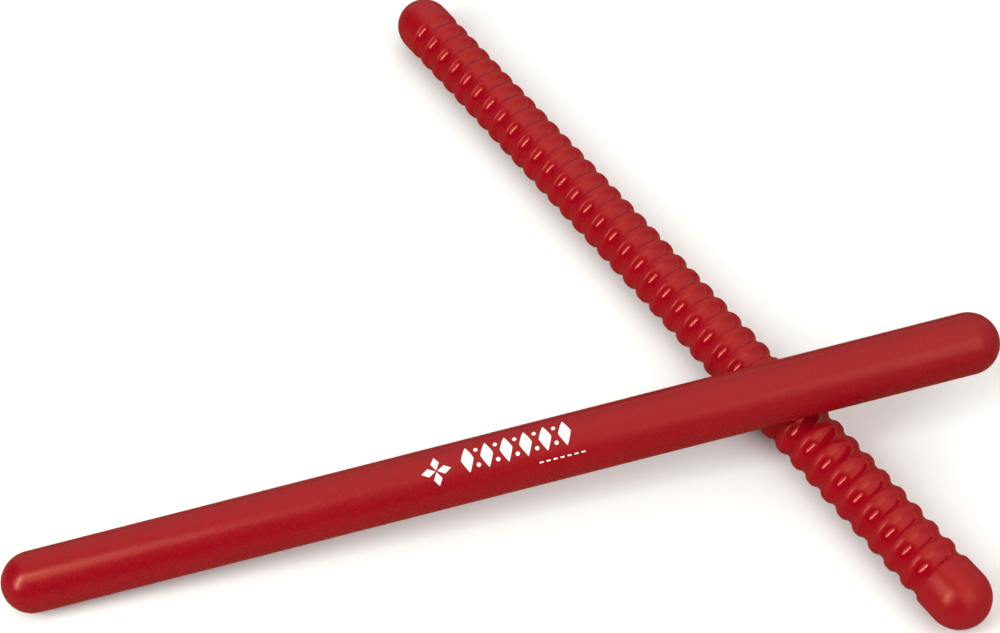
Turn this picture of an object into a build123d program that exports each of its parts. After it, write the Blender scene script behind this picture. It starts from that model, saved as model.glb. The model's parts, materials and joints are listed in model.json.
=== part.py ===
from build123d import *
import math
import os

# A guiro set: a ridged stick and a smooth scraper stick, both hollow, with domed end caps.
# Frame: the ridged stick lies along X on the surface Z = 0, with its mid-length at the origin.
# The scraper lies across it: its low end rests on the surface and its high end is free.
# All lengths are in millimetres and all angles in degrees.

# Both sticks
STICK_LENGTH = 304.8
SPIGOT_LENGTH = 12.0
SPIGOT_GLUE_GAP = 0.05
SPIGOT_WALL = 1.6
SPIGOT_CHAMFER = 0.5

# Ridged stick
GUIRO_DIAMETER = 19.05
GUIRO_BORE_DIAMETER = 12.8
RIDGE_COUNT = 37
RIDGE_PITCH = 7.2
GROOVE_DEPTH = 1.1
CREST_FLAT = 0.8
SHOULDER_RADIUS = 1.4

# Scraper stick
SCRAPER_DIAMETER = 18.7
SCRAPER_BORE_DIAMETER = 14.2
SCRAPER_CAP_LAND = 9.7

# How the scraper lies on the ridged stick
CROSSING_GROOVE = 9.5
CROSSING_ANGLE = 67.5
LOW_END_TO_CROSSING = 232.7
PLAYING_CLEARANCE = 0.25

# Worked out from the dimensions above
GUIRO_RADIUS = GUIRO_DIAMETER / 2
SCRAPER_RADIUS = SCRAPER_DIAMETER / 2
GROOVE_ROOT_RADIUS = GUIRO_RADIUS - GROOVE_DEPTH
RIDGED_HALF_LENGTH = RIDGE_COUNT * RIDGE_PITCH / 2
FLANK_LENGTH = (RIDGE_PITCH - CREST_FLAT) / 2
FLANK_ANGLE = 2 * math.degrees(math.atan(GROOVE_DEPTH / FLANK_LENGTH))
ARC_RADII_SUM = FLANK_LENGTH / math.sin(math.radians(FLANK_ANGLE))
VALLEY_RADIUS = ARC_RADII_SUM - SHOULDER_RADIUS


def valley_point(root_x, toward, angle):
    """Point on a groove's hollow arc, at an angle up from its root."""
    turn = math.radians(angle)
    x = root_x + toward * VALLEY_RADIUS * math.sin(turn)
    return (x, GROOVE_ROOT_RADIUS + VALLEY_RADIUS * (1 - math.cos(turn)))


def shoulder_point(root_x, toward, angle):
    """Point on a ridge's rounded shoulder, at an angle down from its crest."""
    turn = math.radians(angle)
    x = root_x + toward * (FLANK_LENGTH - SHOULDER_RADIUS * math.sin(turn))
    return (x, GUIRO_RADIUS - SHOULDER_RADIUS * (1 - math.cos(turn)))


def flank(root_x, toward):
    """The two arcs from a groove's root up to a crest, toward +X (1) or -X (-1)."""
    root = valley_point(root_x, toward, 0)
    valley_middle = valley_point(root_x, toward, FLANK_ANGLE / 2)
    turning = valley_point(root_x, toward, FLANK_ANGLE)
    shoulder_middle = shoulder_point(root_x, toward, FLANK_ANGLE / 2)
    crest = shoulder_point(root_x, toward, 0)
    hollow = ThreePointArc(root, valley_middle, turning)
    shoulder = ThreePointArc(turning, shoulder_middle, crest)
    return [hollow, shoulder]


def turned(edges):
    """Solid of revolution about X of a closed outline in the X-Y plane."""
    outline = make_face(Curve() + edges)
    return revolve(outline, axis=Axis.X, revolution_arc=360)


def ridged_tube():
    """Hollow tube of ring-shaped ridges, from one end groove's root to the other's."""
    bore = GUIRO_BORE_DIAMETER / 2
    edges = []
    for ridge in range(RIDGE_COUNT):
        low_root = ridge * RIDGE_PITCH - RIDGED_HALF_LENGTH
        high_root = low_root + RIDGE_PITCH
        crest_start = shoulder_point(low_root, 1, 0)
        crest_end = shoulder_point(high_root, -1, 0)
        edges += flank(low_root, 1)
        edges.append(Line(crest_start, crest_end))
        edges += flank(high_root, -1)
    edges.append(Line((RIDGED_HALF_LENGTH, GROOVE_ROOT_RADIUS), (RIDGED_HALF_LENGTH, bore)))
    edges.append(Line((RIDGED_HALF_LENGTH, bore), (-RIDGED_HALF_LENGTH, bore)))
    edges.append(Line((-RIDGED_HALF_LENGTH, bore), (-RIDGED_HALF_LENGTH, GROOVE_ROOT_RADIUS)))
    return turned(edges)


def smooth_tube():
    """Plain hollow tube of the scraper, between the two cap seams."""
    half_length = STICK_LENGTH / 2 - SCRAPER_RADIUS - SCRAPER_CAP_LAND
    bore = SCRAPER_BORE_DIAMETER / 2
    outer_low = (-half_length, SCRAPER_RADIUS)
    outer_high = (half_length, SCRAPER_RADIUS)
    inner_high = (half_length, bore)
    inner_low = (-half_length, bore)
    return turned([Polyline(outer_low, outer_high, inner_high, inner_low, close=True)])


def cap_inside(seam_x, seam_radius, dome_x, bore_diameter):
    """Outline of a cap's hollow and its spigot, from the axis back to the seam."""
    spigot_radius = bore_diameter / 2 - SPIGOT_GLUE_GAP
    hollow_radius = spigot_radius - SPIGOT_WALL
    spigot_x = seam_x - SPIGOT_LENGTH
    diagonal = hollow_radius * math.sqrt(0.5)
    hollow_tip = (dome_x + hollow_radius, 0)
    hollow_corner = (dome_x, hollow_radius)
    hollow_middle = (dome_x + diagonal, diagonal)
    spigot_mouth = (spigot_x, hollow_radius)
    spigot_rim = (spigot_x, spigot_radius - SPIGOT_CHAMFER)
    spigot_side = (spigot_x + SPIGOT_CHAMFER, spigot_radius)
    hollow_end = ThreePointArc(hollow_tip, hollow_middle, hollow_corner)
    sides = Polyline(hollow_corner, spigot_mouth, spigot_rim, spigot_side, (seam_x, spigot_radius))
    seam = Line((seam_x, spigot_radius), (seam_x, seam_radius))
    return [hollow_end, sides, seam]


def dome(radius):
    """Outline of the rounded tip, from the land to the axis and on to the hollow."""
    centre_x = STICK_LENGTH / 2 - radius
    diagonal = radius * math.sqrt(0.5)
    return ThreePointArc((centre_x, radius), (centre_x + diagonal, diagonal), (centre_x + radius, 0))


def hollow_tip_x(dome_x, bore_diameter):
    """Where a cap's hollow ends on the axis."""
    return dome_x + bore_diameter / 2 - SPIGOT_GLUE_GAP - SPIGOT_WALL


def guiro_cap():
    """Domed cap of the ridged stick at +X; its seam is hidden in the end groove's root."""
    dome_x = STICK_LENGTH / 2 - GUIRO_RADIUS
    lip = flank(RIDGED_HALF_LENGTH, 1)
    land = Line(shoulder_point(RIDGED_HALF_LENGTH, 1, 0), (dome_x, GUIRO_RADIUS))
    axis_line = Line((STICK_LENGTH / 2, 0), (hollow_tip_x(dome_x, GUIRO_BORE_DIAMETER), 0))
    inside = cap_inside(RIDGED_HALF_LENGTH, GROOVE_ROOT_RADIUS, dome_x, GUIRO_BORE_DIAMETER)
    return turned([*lip, land, dome(GUIRO_RADIUS), axis_line, *inside])


def scraper_cap():
    """Domed cap of the scraper at +X, flush with its tube."""
    dome_x = STICK_LENGTH / 2 - SCRAPER_RADIUS
    seam_x = dome_x - SCRAPER_CAP_LAND
    land = Line((seam_x, SCRAPER_RADIUS), (dome_x, SCRAPER_RADIUS))
    axis_line = Line((STICK_LENGTH / 2, 0), (hollow_tip_x(dome_x, SCRAPER_BORE_DIAMETER), 0))
    inside = cap_inside(seam_x, SCRAPER_RADIUS, dome_x, SCRAPER_BORE_DIAMETER)
    return turned([land, dome(SCRAPER_RADIUS), axis_line, *inside])


def scraper_location():
    """Places the scraper: low dome on the surface, side just clear of the ridges."""
    spacing = GUIRO_RADIUS + SCRAPER_RADIUS + PLAYING_CLEARANCE
    turn = math.radians(CROSSING_ANGLE)
    rise = 0.0
    for _ in range(20):
        normal_y = -math.sin(rise)
        normal_z = math.cos(rise) * math.sin(turn)
        normal_length = math.hypot(normal_y, normal_z)
        drop = GUIRO_RADIUS + spacing * normal_z / normal_length - SCRAPER_RADIUS
        rise = math.asin(drop / LOW_END_TO_CROSSING)
    along = Vector(math.cos(rise) * math.cos(turn), math.cos(rise) * math.sin(turn), math.sin(rise))
    crossing = Vector(CROSSING_GROOVE * RIDGE_PITCH, 0, GUIRO_RADIUS)
    crossing += Vector(0, normal_y, normal_z) * (spacing / normal_length)
    low_dome_to_middle = STICK_LENGTH / 2 - SCRAPER_RADIUS
    middle = crossing + along * (low_dome_to_middle - LOW_END_TO_CROSSING)
    return Pos(middle) * Rot(Z=CROSSING_ANGLE) * Rot(Y=-math.degrees(rise))


def build_nodes():
    """Every node of the set, placed in the set's frame."""
    guiro_place = Pos(0, 0, GUIRO_RADIUS)
    scraper_place = scraper_location()
    other_end = Rot(Z=180)
    return {
        "guiro_ridged_tube": guiro_place * ridged_tube(),
        "guiro_near_cap": guiro_place * guiro_cap(),
        "guiro_far_cap": guiro_place * other_end * guiro_cap(),
        "scraper_tube": scraper_place * smooth_tube(),
        "scraper_high_cap": scraper_place * scraper_cap(),
        "scraper_low_cap": scraper_place * other_end * scraper_cap(),
    }


os.makedirs("parts", exist_ok=True)
for name, solid in build_nodes().items():
    export_step(solid, f"parts/{name}.step")
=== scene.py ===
import bpy
import json
import math
from mathutils import Matrix, Vector


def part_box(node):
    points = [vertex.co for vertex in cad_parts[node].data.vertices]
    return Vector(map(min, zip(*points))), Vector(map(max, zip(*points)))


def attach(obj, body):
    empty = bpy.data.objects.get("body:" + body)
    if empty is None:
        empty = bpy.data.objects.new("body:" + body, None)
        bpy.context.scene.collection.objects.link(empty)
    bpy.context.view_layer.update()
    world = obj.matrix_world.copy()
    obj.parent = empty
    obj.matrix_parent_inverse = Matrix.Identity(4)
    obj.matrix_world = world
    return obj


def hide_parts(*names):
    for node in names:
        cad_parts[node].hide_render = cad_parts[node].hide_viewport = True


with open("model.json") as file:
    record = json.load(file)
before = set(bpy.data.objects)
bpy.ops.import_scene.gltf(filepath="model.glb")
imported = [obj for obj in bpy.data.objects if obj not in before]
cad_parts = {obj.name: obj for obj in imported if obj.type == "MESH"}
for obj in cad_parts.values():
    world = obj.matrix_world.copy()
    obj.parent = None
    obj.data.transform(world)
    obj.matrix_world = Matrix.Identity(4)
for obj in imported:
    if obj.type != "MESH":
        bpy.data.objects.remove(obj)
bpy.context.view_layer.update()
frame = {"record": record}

# Lengths are in metres, unless a name says otherwise. Angles that are given as numbers are in
# degrees, and angles that are worked out are in radians.
MM = 0.001

# Mesh fineness: segments go round a stick, and steps go along an outline
SEGMENTS = 104
TUBE_FLANK_STEPS = 6
CAP_FLANK_STEPS = 8
BARREL_STEPS = 48
DOME_STEPS = 28
HOLLOW_STEPS = 8
HARD_EDGE_ANGLE = 40.0
ON_AXIS = 1e-7
SAME_POINT = 1e-8

# Both sticks: the outside follows the CAD model
SEAM_CHAMFER = 0.012 * MM
SPIGOT_LENGTH = 12.0 * MM
SPIGOT_GAP = 0.05 * MM
SPIGOT_WALL = 1.6 * MM
SPIGOT_CHAMFER = 0.5 * MM

# Ridged stick
RIDGE_COUNT = 37
RIDGE_PITCH = 7.2 * MM
GROOVE_DEPTH = 1.1 * MM
CREST_FLAT = 0.8 * MM
SHOULDER_RADIUS = 1.4 * MM
GUIRO_BORE_RADIUS = 6.4 * MM

# Scraper
SCRAPER_RADIUS = 9.35 * MM
SCRAPER_BORE_RADIUS = 7.1 * MM
SCRAPER_CAP_LAND = 9.7 * MM

# Printed pattern: places are measured along the scraper from the middle of its low dome,
# and around it from its top line toward +X
INK_HEIGHT = 0.03 * MM
INK_SINK = 0.02 * MM
PATCH_ROWS = 22
PATCH_COLUMNS = (-1.0, -0.88, -0.45, 0.0, 0.45, 0.88, 1.0)
STAR_PLACE = (125.0 * MM, 3.2 * MM)
STAR_ARMS = 4
STAR_REACH = 2.4 * MM
STAR_ARM_LENGTH = 4.2 * MM
STAR_ARM_WIDTH = 2.6 * MM
DIAMOND_START = 134.6 * MM
DIAMOND_LINE = 2.0 * MM
DIAMOND_DRIFT = 0.15 * MM
DIAMOND_COUNT = 6
DIAMOND_PITCH = 5.9 * MM
DIAMOND_WIDTH = 3.9 * MM
DIAMOND_LENGTH = 8.0 * MM
DOT_WIDTH = 1.3 * MM
DOT_OFFSET = 2.4 * MM
DASH_START = 155.5 * MM
DASH_COUNT = 7
DASH_PITCH = 2.1 * MM
DASH_LINE = 8.3 * MM
DASH_LENGTH = 0.5 * MM
DASH_WIDTH = 1.3 * MM

# A patch's outline is pointed at squareness 1, round at 2 and boxy above
STAR_SQUARENESS = 1.0
DIAMOND_SQUARENESS = 1.1
DOT_SQUARENESS = 2.0
DASH_SQUARENESS = 4.0

# Plastic: a shade's first number is its share of the stick's own red
# The two sticks are one plastic. The ridged stick's red is set higher than the smooth stick's as painted
# light, to lift the shade that falls between its ridges
RIDGED_REDNESS_WITH_PAINTED_LIGHT = 0.325
SMOOTH_REDNESS = 0.280
DEEP_SHADE = (0.94, 0.0014, 0.0082)
PALE_SHADE = (1.06, 0.0023, 0.0104)
DULL_SHADE = (1.04, 0.0046, 0.0115)
MOST_DULLED = 0.45
PLASTIC_IOR = 1.5
SPECULAR_LEVEL = 0.60
SPECULAR_TINT = (1.0, 0.40, 0.25, 1.0)
RIDGED_SKIN_ROUGHNESS = 0.33
SMOOTH_SKIN_ROUGHNESS = 0.27
ROUGHNESS_SPREAD = 0.04
GROOVE_ROUGHNESS = 0.10
GRAIN_DEPTH = 0.0028 * MM
GRAIN_IN_GROOVES = 0.25
WAVE_DEPTH = 0.03 * MM

# Noise textures: a scale, in features to a metre, and the level of detail
GRAIN_NOISE = (1500.0, 3.0)
MOTTLE_NOISE = (900.0, 3.0)
CLOUD_NOISE = (45.0, 2.0)
WAVE_NOISE = (160.0, 1.0)
SPECKLE_NOISE = (1800.0, 3.0)
WEAR_NOISE = (700.0, 4.0)

# The part of a noise texture's range over which it takes effect
MOTTLE_DULLS = (0.35, 0.75)
MOTTLE_ROUGHENS = (0.25, 0.75)
SPECKLE_ROUGHENS = (0.3, 0.7)
WEAR_SHOWS = (0.66, 0.78)

# Where the ridged stick's skin begins and is complete: below the crests as a share of the
# groove's depth, and beyond the last groove's root as a share of the flank's length
SKIN_BEGINS_DEPTH = 0.90
SKIN_COMPLETE_DEPTH = 0.05
SKIN_BEGINS_END = 0.6

# Ink
INK_DIM = (0.84, 0.835, 0.83)
INK_BRIGHT = (0.90, 0.895, 0.89)
INK_WORN = (0.72, 0.42, 0.42)
MOST_WORN = 0.35
INK_ROUGHNESS = (0.42, 0.52)
INK_SPECKLE_DEPTH = 0.004 * MM

# Worked out from the frame and from the dimensions above
mounts = {mount["name"]: mount for mount in frame["record"]["mounts"]}
GUIRO_RADIUS = mounts["near_end_land"]["dims"]["r_mm"] * MM
guiro_low, guiro_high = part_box("guiro_far_cap")[0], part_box("guiro_near_cap")[1]
STICK_LENGTH = guiro_high.x - guiro_low.x
ROOT_RADIUS = GUIRO_RADIUS - GROOVE_DEPTH
RIDGED_HALF = RIDGE_COUNT * RIDGE_PITCH / 2
FLANK_LENGTH = (RIDGE_PITCH - CREST_FLAT) / 2
FLANK_ANGLE = 2 * math.atan(GROOVE_DEPTH / FLANK_LENGTH)
VALLEY_RADIUS = FLANK_LENGTH / math.sin(FLANK_ANGLE) - SHOULDER_RADIUS

# Studio: the lights face one point between the sticks. The floor has one brightness for the
# camera, one in reflections and one for all other rays. The room has one for the camera and
# one for all other rays
LIT_POINT = Vector((0.03, -0.09, 0.02))
LIGHT_DISTANCE = 1.3
FLOOR_HALF_SIDE = 6.0
FLOOR_ROUGHNESS = 0.9
FLOOR_SPECULAR_LEVEL = 0.1
FLOOR_IN_VIEW = (0.95, 0.95, 0.95)
FLOOR_FOR_BOUNCES = (0.92, 0.90, 0.87)
FLOOR_IN_REFLECTIONS = (0.30, 0.10, 0.06)
BACKDROP_COLOUR = (1.0, 1.0, 1.0)
BACKDROP_LEVEL = 0.95
ROOM_COLOUR = (1.0, 0.98, 0.94)
ROOM_GLOW = 1.28

# The room gets darker toward one side, and brighter upward. Each pair gives where that begins
# and ends: as the cosine of the angle from the dark side, and as the sine of the elevation,
# which stops at 1, so that the highest share is never quite reached
DARK_DIRECTION = (-0.087, -0.992, 0.087)
DARKER_TOWARD = (0.10, 0.50)
BRIGHTER_UPWARD = (0.25, 1.1)
SHARE_LOW, SHARE_HIGH = 0.40, 1.2

# Camera: where the picture is taken from
CAMERA_PLACE = Vector((0.3377, -0.2361, 0.5422))
CAMERA_TARGET = Vector((-0.02497, -0.04663, 0.0))
CAMERA_ROLL = -7.425
CAMERA_LENS_MM = 75.32
CAMERA_CLIP_START = 0.01
SENSOR_MM = 36.0


# ---------------------------------------------------------------- outlines

def arc(centre_x, centre_r, radius, start, end, steps):
    """Points (x, r) on an arc, angles in radians counted from +X toward +r."""
    points = []
    for step in range(steps + 1):
        angle = start + (end - start) * step / steps
        points.append((centre_x + radius * math.cos(angle), centre_r + radius * math.sin(angle)))
    return points


def rising_flank(root_x, steps):
    """From a groove's root toward +X: the hollow arc, then the shoulder up to the crest."""
    down = -math.pi / 2
    up = math.pi / 2
    valley = arc(root_x, ROOT_RADIUS + VALLEY_RADIUS, VALLEY_RADIUS, down, down + FLANK_ANGLE, steps)
    crest_x = root_x + FLANK_LENGTH
    shoulder = arc(crest_x, GUIRO_RADIUS - SHOULDER_RADIUS, SHOULDER_RADIUS, up + FLANK_ANGLE, up, steps)
    return valley + shoulder[1:]


def mirrored(points, middle_x):
    """The same points reflected about a station on the axis, in reverse order."""
    return [(2 * middle_x - x, r) for x, r in reversed(points)]


def ridged_outline():
    """Closed outline of the ridged tube: ridges outside, plain bore inside."""
    outline = [(-RIDGED_HALF, ROOT_RADIUS - SEAM_CHAMFER)]
    for ridge in range(RIDGE_COUNT):
        root_x = ridge * RIDGE_PITCH - RIDGED_HALF
        rise = rising_flank(root_x, TUBE_FLANK_STEPS)
        fall = mirrored(rise, root_x + RIDGE_PITCH / 2)
        skip = 0 if ridge == 0 else 1
        outline += rise[skip:] + fall
    # The first and the last root move in by the chamfers at the tube's two seams
    outline[1] = (outline[1][0] + SEAM_CHAMFER, outline[1][1])
    outline[-1] = (outline[-1][0] - SEAM_CHAMFER, outline[-1][1])
    outline.append((RIDGED_HALF, ROOT_RADIUS - SEAM_CHAMFER))
    outline.append((RIDGED_HALF, GUIRO_BORE_RADIUS))
    outline.append((-RIDGED_HALF, GUIRO_BORE_RADIUS))
    return outline


def smooth_outline(half_length):
    """Closed outline of the scraper's tube."""
    rim = SCRAPER_RADIUS - SEAM_CHAMFER
    outer = [(-half_length, rim)]
    for step in range(BARREL_STEPS + 1):
        x = -half_length + SEAM_CHAMFER + 2 * (half_length - SEAM_CHAMFER) * step / BARREL_STEPS
        outer.append((x, SCRAPER_RADIUS))
    outer.append((half_length, rim))
    return outer + [(half_length, SCRAPER_BORE_RADIUS), (-half_length, SCRAPER_BORE_RADIUS)]


def cap_outline(seam_x, rim_radius, skin, radius, bore_radius):
    """Outline of a cap at +X, from its seam over the dome to the axis and back inside."""
    dome_x = STICK_LENGTH / 2 - radius
    spigot_radius = bore_radius - SPIGOT_GAP
    hollow_radius = spigot_radius - SPIGOT_WALL
    spigot_x = seam_x - SPIGOT_LENGTH
    dome = arc(dome_x, 0.0, radius, math.pi / 2, 0.0, DOME_STEPS)
    hollow = arc(dome_x, 0.0, hollow_radius, 0.0, math.pi / 2, HOLLOW_STEPS)
    spigot = [(spigot_x, hollow_radius), (spigot_x, spigot_radius - SPIGOT_CHAMFER)]
    spigot += [(spigot_x + SPIGOT_CHAMFER, spigot_radius), (seam_x, spigot_radius)]
    return [(seam_x, rim_radius - SEAM_CHAMFER)] + skin + dome + hollow + spigot


def guiro_cap_outline():
    """A cap of the ridged stick. Its skin rises out of the last groove's root."""
    skin = rising_flank(RIDGED_HALF, CAP_FLANK_STEPS)
    skin[0] = (skin[0][0] + SEAM_CHAMFER, skin[0][1])
    return cap_outline(RIDGED_HALF, ROOT_RADIUS, skin, GUIRO_RADIUS, GUIRO_BORE_RADIUS)


def scraper_cap_outline():
    """A cap of the scraper, with a plain land between its seam and its dome."""
    dome_x = STICK_LENGTH / 2 - SCRAPER_RADIUS
    seam_x = dome_x - SCRAPER_CAP_LAND
    skin = [(seam_x + SEAM_CHAMFER, SCRAPER_RADIUS), (dome_x - SCRAPER_CAP_LAND / 2, SCRAPER_RADIUS)]
    return cap_outline(seam_x, SCRAPER_RADIUS, skin, SCRAPER_RADIUS, SCRAPER_BORE_RADIUS)


# ---------------------------------------------------------------- mesh making

def new_object(name, vertices, faces, place):
    """A mesh object with smooth shading that breaks at hard edges."""
    mesh = bpy.data.meshes.new(name)
    mesh.from_pydata(vertices, [], faces)
    mesh.validate()
    mesh.update()
    for polygon in mesh.polygons:
        polygon.use_smooth = True
    mesh.set_sharp_from_angle(angle=math.radians(HARD_EDGE_ANGLE))
    mesh.transform(place)
    piece = bpy.data.objects.new(name, mesh)
    bpy.context.scene.collection.objects.link(piece)
    return piece


def turned(name, outline, place):
    """Turns a closed (x, r) outline about the X axis into a closed mesh."""
    vertices = []
    rings = []
    for x, r in outline:
        if r < ON_AXIS:
            rings.append([len(vertices)])
            vertices.append((x, 0.0, 0.0))
            continue
        rings.append(list(range(len(vertices), len(vertices) + SEGMENTS)))
        for segment in range(SEGMENTS):
            angle = 2 * math.pi * segment / SEGMENTS
            vertices.append((x, r * math.cos(angle), r * math.sin(angle)))
    faces = []
    for here, there in zip(rings, rings[1:] + rings[:1]):
        if len(here) == 1 and len(there) == 1:
            continue
        for segment in range(SEGMENTS):
            after = (segment + 1) % SEGMENTS
            if len(here) == 1:
                faces.append((here[0], there[segment], there[after]))
            elif len(there) == 1:
                faces.append((here[segment], there[0], here[after]))
            else:
                faces.append((here[segment], there[segment], there[after], here[after]))
    return new_object(name, vertices, faces, place)


def distinct(outline):
    """The outline without points that repeat the one before."""
    kept = [outline[0]]
    for point in outline[1:]:
        if math.dist(point, kept[-1]) > SAME_POINT:
            kept.append(point)
    return kept


# ---------------------------------------------------------------- materials

def node(tree, kind, **values):
    """A new shader node with the given settings."""
    made = tree.nodes.new(kind)
    for key, value in values.items():
        setattr(made, key, value)
    return made


def stick_coordinates(tree, place):
    """Coordinates measured from a stick's middle, with X along its axis."""
    inverse = place.inverted()
    source = node(tree, "ShaderNodeTexCoord")
    mapping = node(tree, "ShaderNodeMapping", vector_type="POINT")
    mapping.inputs["Location"].default_value = inverse.to_translation()
    mapping.inputs["Rotation"].default_value = inverse.to_euler("XYZ")
    tree.links.new(source.outputs["Object"], mapping.inputs["Vector"])
    return mapping.outputs["Vector"]


def noise(tree, vector, scale, detail):
    """Blender's own noise texture, as one value between 0 and 1."""
    made = node(tree, "ShaderNodeTexNoise")
    made.inputs["Scale"].default_value = scale
    made.inputs["Detail"].default_value = detail
    tree.links.new(vector, made.inputs["Vector"])
    return made.outputs["Fac"]


def graded(tree, value, lowest, highest, at_lowest, at_highest):
    """Turns a value between lowest and highest smoothly into another pair of values."""
    made = node(tree, "ShaderNodeMapRange", interpolation_type="SMOOTHSTEP")
    made.inputs["From Min"].default_value = lowest
    made.inputs["From Max"].default_value = highest
    made.inputs["To Min"].default_value = at_lowest
    made.inputs["To Max"].default_value = at_highest
    tree.links.new(value, made.inputs["Value"])
    return made.outputs["Result"]


def arithmetic(tree, operation, first, second):
    """An operation on an output and either a number or another output."""
    made = node(tree, "ShaderNodeMath", operation=operation)
    tree.links.new(first, made.inputs[0])
    if isinstance(second, float):
        made.inputs[1].default_value = second
    else:
        tree.links.new(second, made.inputs[1])
    return made.outputs["Value"]


def blended(tree, factor, colour_a, colour_b):
    """A mix of two colours, each a fixed colour or another node's output."""
    made = node(tree, "ShaderNodeMix", data_type="RGBA")
    tree.links.new(factor, made.inputs["Factor"])
    for socket, colour in (("A", colour_a), ("B", colour_b)):
        if isinstance(colour, tuple):
            made.inputs[socket].default_value = (*colour, 1.0)
        else:
            tree.links.new(colour, made.inputs[socket])
    return made.outputs["Result"]


def bumped(tree, height, depth, normal=None):
    """A normal that follows a height, added to another normal if there is one."""
    made = node(tree, "ShaderNodeBump")
    made.inputs["Strength"].default_value = 1.0
    made.inputs["Distance"].default_value = depth
    tree.links.new(height, made.inputs["Height"])
    if normal:
        tree.links.new(normal, made.inputs["Normal"])
    return made.outputs["Normal"]


def crest_mask(tree, vector):
    """1 on the ridges' crests and on the plain ends, and 0 at the bottom of the grooves."""
    flat = node(tree, "ShaderNodeVectorMath", operation="MULTIPLY")
    flat.inputs[1].default_value = (0.0, 1.0, 1.0)
    tree.links.new(vector, flat.inputs[0])
    from_axis = node(tree, "ShaderNodeVectorMath", operation="LENGTH")
    tree.links.new(flat.outputs["Vector"], from_axis.inputs[0])
    low = GUIRO_RADIUS - SKIN_BEGINS_DEPTH * GROOVE_DEPTH
    high = GUIRO_RADIUS - SKIN_COMPLETE_DEPTH * GROOVE_DEPTH
    crest = graded(tree, from_axis.outputs["Value"], low, high, 0.0, 1.0)
    split = node(tree, "ShaderNodeSeparateXYZ")
    tree.links.new(vector, split.inputs["Vector"])
    from_middle = arithmetic(tree, "ABSOLUTE", split.outputs["X"], 0.0)
    end_begins = RIDGED_HALF + SKIN_BEGINS_END * FLANK_LENGTH
    ends = graded(tree, from_middle, end_begins, RIDGED_HALF + FLANK_LENGTH, 0.0, 1.0)
    return arithmetic(tree, "MAXIMUM", crest, ends)


def new_material(name):
    """A material, its node tree and its Principled shader."""
    material = bpy.data.materials.new(name)
    material.use_nodes = True
    tree = material.node_tree
    return material, tree, tree.nodes["Principled BSDF"]


def red_plastic(name, place, redness, skin_roughness, grooved):
    """Satin moulded plastic with a fine grain. The grooves are smoother and glossier than the skin."""
    def reddened(shade):
        return (shade[0] * redness, *shade[1:])

    material, tree, shader = new_material(name)
    shader.inputs["IOR"].default_value = PLASTIC_IOR
    shader.inputs["Specular IOR Level"].default_value = SPECULAR_LEVEL
    shader.inputs["Specular Tint"].default_value = SPECULAR_TINT
    vector = stick_coordinates(tree, place)
    grain = noise(tree, vector, *GRAIN_NOISE)
    mottle = noise(tree, vector, *MOTTLE_NOISE)
    cloud = noise(tree, vector, *CLOUD_NOISE)
    waves = noise(tree, vector, *WAVE_NOISE)

    clouded = blended(tree, cloud, reddened(DEEP_SHADE), reddened(PALE_SHADE))
    dulled = graded(tree, mottle, *MOTTLE_DULLS, 0.0, MOST_DULLED)
    smoothest, roughest = skin_roughness - ROUGHNESS_SPREAD, skin_roughness + ROUGHNESS_SPREAD
    rough = graded(tree, mottle, *MOTTLE_ROUGHENS, smoothest, roughest)
    if grooved:
        skin = crest_mask(tree, vector)
        dulled = arithmetic(tree, "MULTIPLY", dulled, skin)
        less = graded(tree, skin, 0.0, 1.0, skin_roughness - GROOVE_ROUGHNESS, 0.0)
        rough = arithmetic(tree, "SUBTRACT", rough, less)
        grain = arithmetic(tree, "MULTIPLY", grain, graded(tree, skin, 0.0, 1.0, GRAIN_IN_GROOVES, 1.0))

    tree.links.new(blended(tree, dulled, clouded, reddened(DULL_SHADE)), shader.inputs["Base Color"])
    tree.links.new(rough, shader.inputs["Roughness"])
    fine = bumped(tree, grain, GRAIN_DEPTH)
    tree.links.new(bumped(tree, waves, WAVE_DEPTH, fine), shader.inputs["Normal"])
    return material


def white_ink(place):
    """Matt screen-printed ink, slightly uneven and worn thin in places."""
    material, tree, shader = new_material("white_ink")
    vector = stick_coordinates(tree, place)
    speckle = noise(tree, vector, *SPECKLE_NOISE)
    wear = noise(tree, vector, *WEAR_NOISE)
    worn = graded(tree, wear, *WEAR_SHOWS, 0.0, MOST_WORN)
    even = blended(tree, speckle, INK_DIM, INK_BRIGHT)
    tree.links.new(blended(tree, worn, even, INK_WORN), shader.inputs["Base Color"])
    rough = graded(tree, speckle, *SPECKLE_ROUGHENS, *INK_ROUGHNESS)
    tree.links.new(rough, shader.inputs["Roughness"])
    tree.links.new(bumped(tree, speckle, INK_SPECKLE_DEPTH), shader.inputs["Normal"])
    return material


# ---------------------------------------------------------------- the pieces

guiro_place = Matrix.Translation((0.0, 0.0, GUIRO_RADIUS))
corner = Vector((SCRAPER_RADIUS, SCRAPER_RADIUS, SCRAPER_RADIUS))
low_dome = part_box("scraper_low_cap")[0] + corner
high_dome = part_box("scraper_high_cap")[1] - corner
scraper_along = (high_dome - low_dome).normalized()
scraper_up = (Vector((0, 0, 1)) - scraper_along.z * scraper_along).normalized()
scraper_side = scraper_up.cross(scraper_along)
scraper_turn = Matrix((scraper_along, scraper_side, scraper_up)).transposed().to_4x4()
scraper_place = Matrix.Translation((low_dome + high_dome) / 2) @ scraper_turn
other_end = Matrix.Rotation(math.pi, 4, "Z")

ridged_plastic = red_plastic(
    "ridged_plastic", guiro_place, RIDGED_REDNESS_WITH_PAINTED_LIGHT, RIDGED_SKIN_ROUGHNESS, grooved=True)
smooth_plastic = red_plastic(
    "smooth_plastic", scraper_place, SMOOTH_REDNESS, SMOOTH_SKIN_ROUGHNESS, grooved=False)
print_ink = white_ink(scraper_place)


def add_piece(name, outline, place, material, body, cad_node):
    """One turned piece, which moves with a body and stands in for a node of the CAD model."""
    piece = turned(name, distinct(outline), place)
    piece.data.materials.append(material)
    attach(piece, body)
    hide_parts(cad_node)


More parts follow.
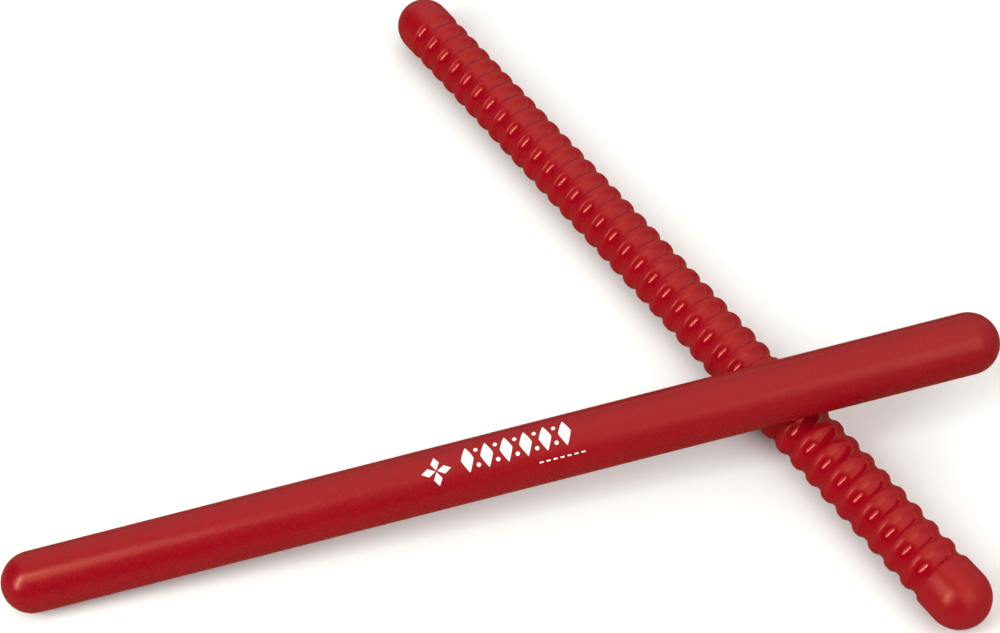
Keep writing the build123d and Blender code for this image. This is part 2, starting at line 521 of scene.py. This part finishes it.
def add_guiro():
    def add(name, outline, place, cad_node):
        add_piece(name, outline, place, ridged_plastic, "guiro", cad_node)

    add("ridged_tube", ridged_outline(), guiro_place, "guiro_ridged_tube")
    add("near_end_cap", guiro_cap_outline(), guiro_place, "guiro_near_cap")
    add("far_end_cap", guiro_cap_outline(), guiro_place @ other_end, "guiro_far_cap")


def add_scraper():
    def add(name, outline, place, cad_node):
        add_piece(name, outline, place, smooth_plastic, "scraper", cad_node)

    half = STICK_LENGTH / 2 - SCRAPER_RADIUS - SCRAPER_CAP_LAND
    add("scraper_barrel", smooth_outline(half), scraper_place, "scraper_tube")
    add("raised_end_cap", scraper_cap_outline(), scraper_place, "scraper_high_cap")
    add("resting_end_cap", scraper_cap_outline(), scraper_place @ other_end, "scraper_low_cap")


def on_scraper(along, around, lift):
    """A point of the print, in the scraper's own coordinates."""
    angle = around / SCRAPER_RADIUS
    radius = SCRAPER_RADIUS + lift
    return (along - (STICK_LENGTH / 2 - SCRAPER_RADIUS), -radius * math.sin(angle), radius * math.cos(angle))


def add_patch(vertices, faces, along, around, length, width, lean, squareness):
    """One closed patch of ink in the shape of a superellipse, turned by lean degrees."""
    turn = math.radians(lean)

    def point(across, down, lift):
        x = across * math.cos(turn) + down * math.sin(turn)
        y = down * math.cos(turn) - across * math.sin(turn)
        vertices.append(on_scraper(along + x, around + y, lift))
        return len(vertices) - 1

    top, bottom = [], []
    for row in range(1, PATCH_ROWS):
        t = -math.cos(math.pi * row / PATCH_ROWS)
        half_width = width / 2 * (1 - abs(t) ** squareness) ** (1 / squareness)
        raised_row = 1 < row < PATCH_ROWS - 1
        upper = []
        lower = []
        for column in PATCH_COLUMNS:
            rim = abs(column) == 1.0
            lift = INK_HEIGHT if raised_row and not rim else -INK_SINK / 2
            upper.append(point(column * half_width, t * length / 2, lift))
            lower.append(upper[-1] if rim else point(column * half_width, t * length / 2, -INK_SINK))
        top.append(upper)
        bottom.append(lower)
    tips = [point(0.0, -length / 2, -INK_SINK / 2), point(0.0, length / 2, -INK_SINK / 2)]
    for sheet, flip in ((top, 1), (bottom, -1)):
        for here, there in zip(sheet, sheet[1:]):
            for column in range(len(PATCH_COLUMNS) - 1):
                corners = (here[column], here[column + 1], there[column + 1], there[column])
                faces.append(corners[::flip])
        for column in range(len(PATCH_COLUMNS) - 1):
            faces.append((tips[0], sheet[0][column + 1], sheet[0][column])[::flip])
            faces.append((sheet[-1][column], sheet[-1][column + 1], tips[1])[::flip])


def add_print():
    """A plain row of diamonds and dots between a four-pointed star and a dashed line."""
    vertices, faces = [], []
    for arm in range(STAR_ARMS):
        angle = 2 * math.pi * arm / STAR_ARMS
        along = STAR_PLACE[0] + STAR_REACH * math.cos(angle)
        around = STAR_PLACE[1] + STAR_REACH * math.sin(angle)
        lean = 360.0 / STAR_ARMS * (arm + 1)
        add_patch(vertices, faces, along, around, STAR_ARM_LENGTH, STAR_ARM_WIDTH, lean, STAR_SQUARENESS)
    for diamond in range(DIAMOND_COUNT):
        along = DIAMOND_START + diamond * DIAMOND_PITCH
        around = DIAMOND_LINE - DIAMOND_DRIFT * diamond
        add_patch(vertices, faces, along, around, DIAMOND_LENGTH, DIAMOND_WIDTH, 0.0, DIAMOND_SQUARENESS)
        if diamond + 1 < DIAMOND_COUNT:
            between = along + DIAMOND_PITCH / 2
            for side in (-1, 1):
                beside = around + side * DOT_OFFSET
                add_patch(vertices, faces, between, beside, DOT_WIDTH, DOT_WIDTH, 0.0, DOT_SQUARENESS)
    for dash in range(DASH_COUNT):
        along = DASH_START + dash * DASH_PITCH
        add_patch(vertices, faces, along, DASH_LINE, DASH_LENGTH, DASH_WIDTH, 0.0, DASH_SQUARENESS)
    pattern = new_object("printed_pattern", vertices, faces, scraper_place)
    pattern.data.materials.append(print_ink)
    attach(pattern, "scraper")


# ---------------------------------------------------------------- stage, lights, camera

def add_floor():
    """A pale floor. It looks brighter to the camera than it does in reflections."""
    side = FLOOR_HALF_SIDE
    corners = [(-side, -side, 0.0), (side, -side, 0.0), (side, side, 0.0), (-side, side, 0.0)]
    floor = new_object("floor", corners, [(0, 1, 2, 3)], Matrix.Identity(4))
    material, tree, shader = new_material("pale_floor")
    path = node(tree, "ShaderNodeLightPath")
    unseen = blended(tree, path.outputs["Is Glossy Ray"], FLOOR_FOR_BOUNCES, FLOOR_IN_REFLECTIONS)
    colour = blended(tree, path.outputs["Is Camera Ray"], unseen, FLOOR_IN_VIEW)
    tree.links.new(colour, shader.inputs["Base Color"])
    shader.inputs["Roughness"].default_value = FLOOR_ROUGHNESS
    shader.inputs["Specular IOR Level"].default_value = FLOOR_SPECULAR_LEVEL
    floor.data.materials.append(material)


def add_world():
    """A pale backdrop for the camera, and a room that lights the sticks from all but one side."""
    world = bpy.data.worlds.new("studio")
    world.use_nodes = True
    tree = world.node_tree
    coordinates = node(tree, "ShaderNodeTexCoord")
    facing = node(tree, "ShaderNodeVectorMath", operation="DOT_PRODUCT")
    facing.inputs[1].default_value = DARK_DIRECTION
    tree.links.new(coordinates.outputs["Generated"], facing.inputs[0])
    around = graded(tree, facing.outputs["Value"], *DARKER_TOWARD, ROOM_GLOW, 0.0)
    split = node(tree, "ShaderNodeSeparateXYZ")
    tree.links.new(coordinates.outputs["Generated"], split.inputs["Vector"])
    share = graded(tree, split.outputs["Z"], *BRIGHTER_UPWARD, SHARE_LOW, SHARE_HIGH)
    glow = arithmetic(tree, "MULTIPLY", around, share)
    path = node(tree, "ShaderNodeLightPath")
    strength = node(tree, "ShaderNodeMix", data_type="FLOAT")
    strength.inputs["B"].default_value = BACKDROP_LEVEL
    tree.links.new(path.outputs["Is Camera Ray"], strength.inputs["Factor"])
    tree.links.new(glow, strength.inputs["A"])
    tree.links.new(strength.outputs["Result"], tree.nodes["Background"].inputs["Strength"])
    colour = blended(tree, path.outputs["Is Camera Ray"], ROOM_COLOUR, BACKDROP_COLOUR)
    tree.links.new(colour, tree.nodes["Background"].inputs["Color"])
    bpy.context.scene.world = world


def add_softbox(name, azimuth, elevation, width, height, power, tilt=0.0, colour=(1.0, 1.0, 1.0)):
    """An area light that faces the sticks, from the given direction as seen from them."""
    light = bpy.data.lights.new(name, "AREA")
    light.shape = "RECTANGLE"
    light.size = width
    light.size_y = height
    light.energy = power
    light.color = colour
    lamp = bpy.data.objects.new(name, light)
    bpy.context.scene.collection.objects.link(lamp)
    flat = math.cos(math.radians(elevation))
    direction = Vector((
        flat * math.cos(math.radians(azimuth)),
        flat * math.sin(math.radians(azimuth)),
        math.sin(math.radians(elevation)),
    ))
    level = Vector((0.0, 0.0, 1.0)).cross(direction)
    along = Matrix.Rotation(math.radians(tilt), 3, direction) @ level
    place = LIT_POINT + LIGHT_DISTANCE * direction
    back = (place - LIT_POINT).normalized()
    across = (along - along.dot(back) * back).normalized()
    upward = back.cross(across)
    turn = Matrix((across, upward, back)).transposed().to_4x4()
    lamp.matrix_world = Matrix.Translation(place) @ turn


def add_lights():
    """A narrow tilted key light close to a wider one, and a fill from the side. Powers in watts."""
    add_softbox(
        "key_core", azimuth=267.0, elevation=41.0, width=0.15, height=1.05, power=9.5,
        tilt=14.0, colour=(0.85, 1.0, 0.94))
    add_softbox("key_surround", azimuth=272.0, elevation=46.0, width=0.70, height=1.10, power=5.6)
    add_softbox("side_fill", azimuth=12.0, elevation=45.0, width=0.90, height=0.90, power=3.0)


def add_camera():
    camera = bpy.data.cameras.new("camera")
    camera.sensor_width = SENSOR_MM
    camera.lens = CAMERA_LENS_MM
    camera.clip_start = CAMERA_CLIP_START
    holder = bpy.data.objects.new("camera", camera)
    bpy.context.scene.collection.objects.link(holder)
    aim = (CAMERA_TARGET - CAMERA_PLACE).to_track_quat("-Z", "Y").to_matrix().to_4x4()
    roll = Matrix.Rotation(math.radians(CAMERA_ROLL), 4, "Z")
    holder.matrix_world = Matrix.Translation(CAMERA_PLACE) @ aim @ roll
    bpy.context.scene.camera = holder


add_guiro()
add_scraper()
add_print()
add_floor()
add_world()
add_lights()
add_camera()
bpy.context.scene.view_settings.view_transform = "Standard"
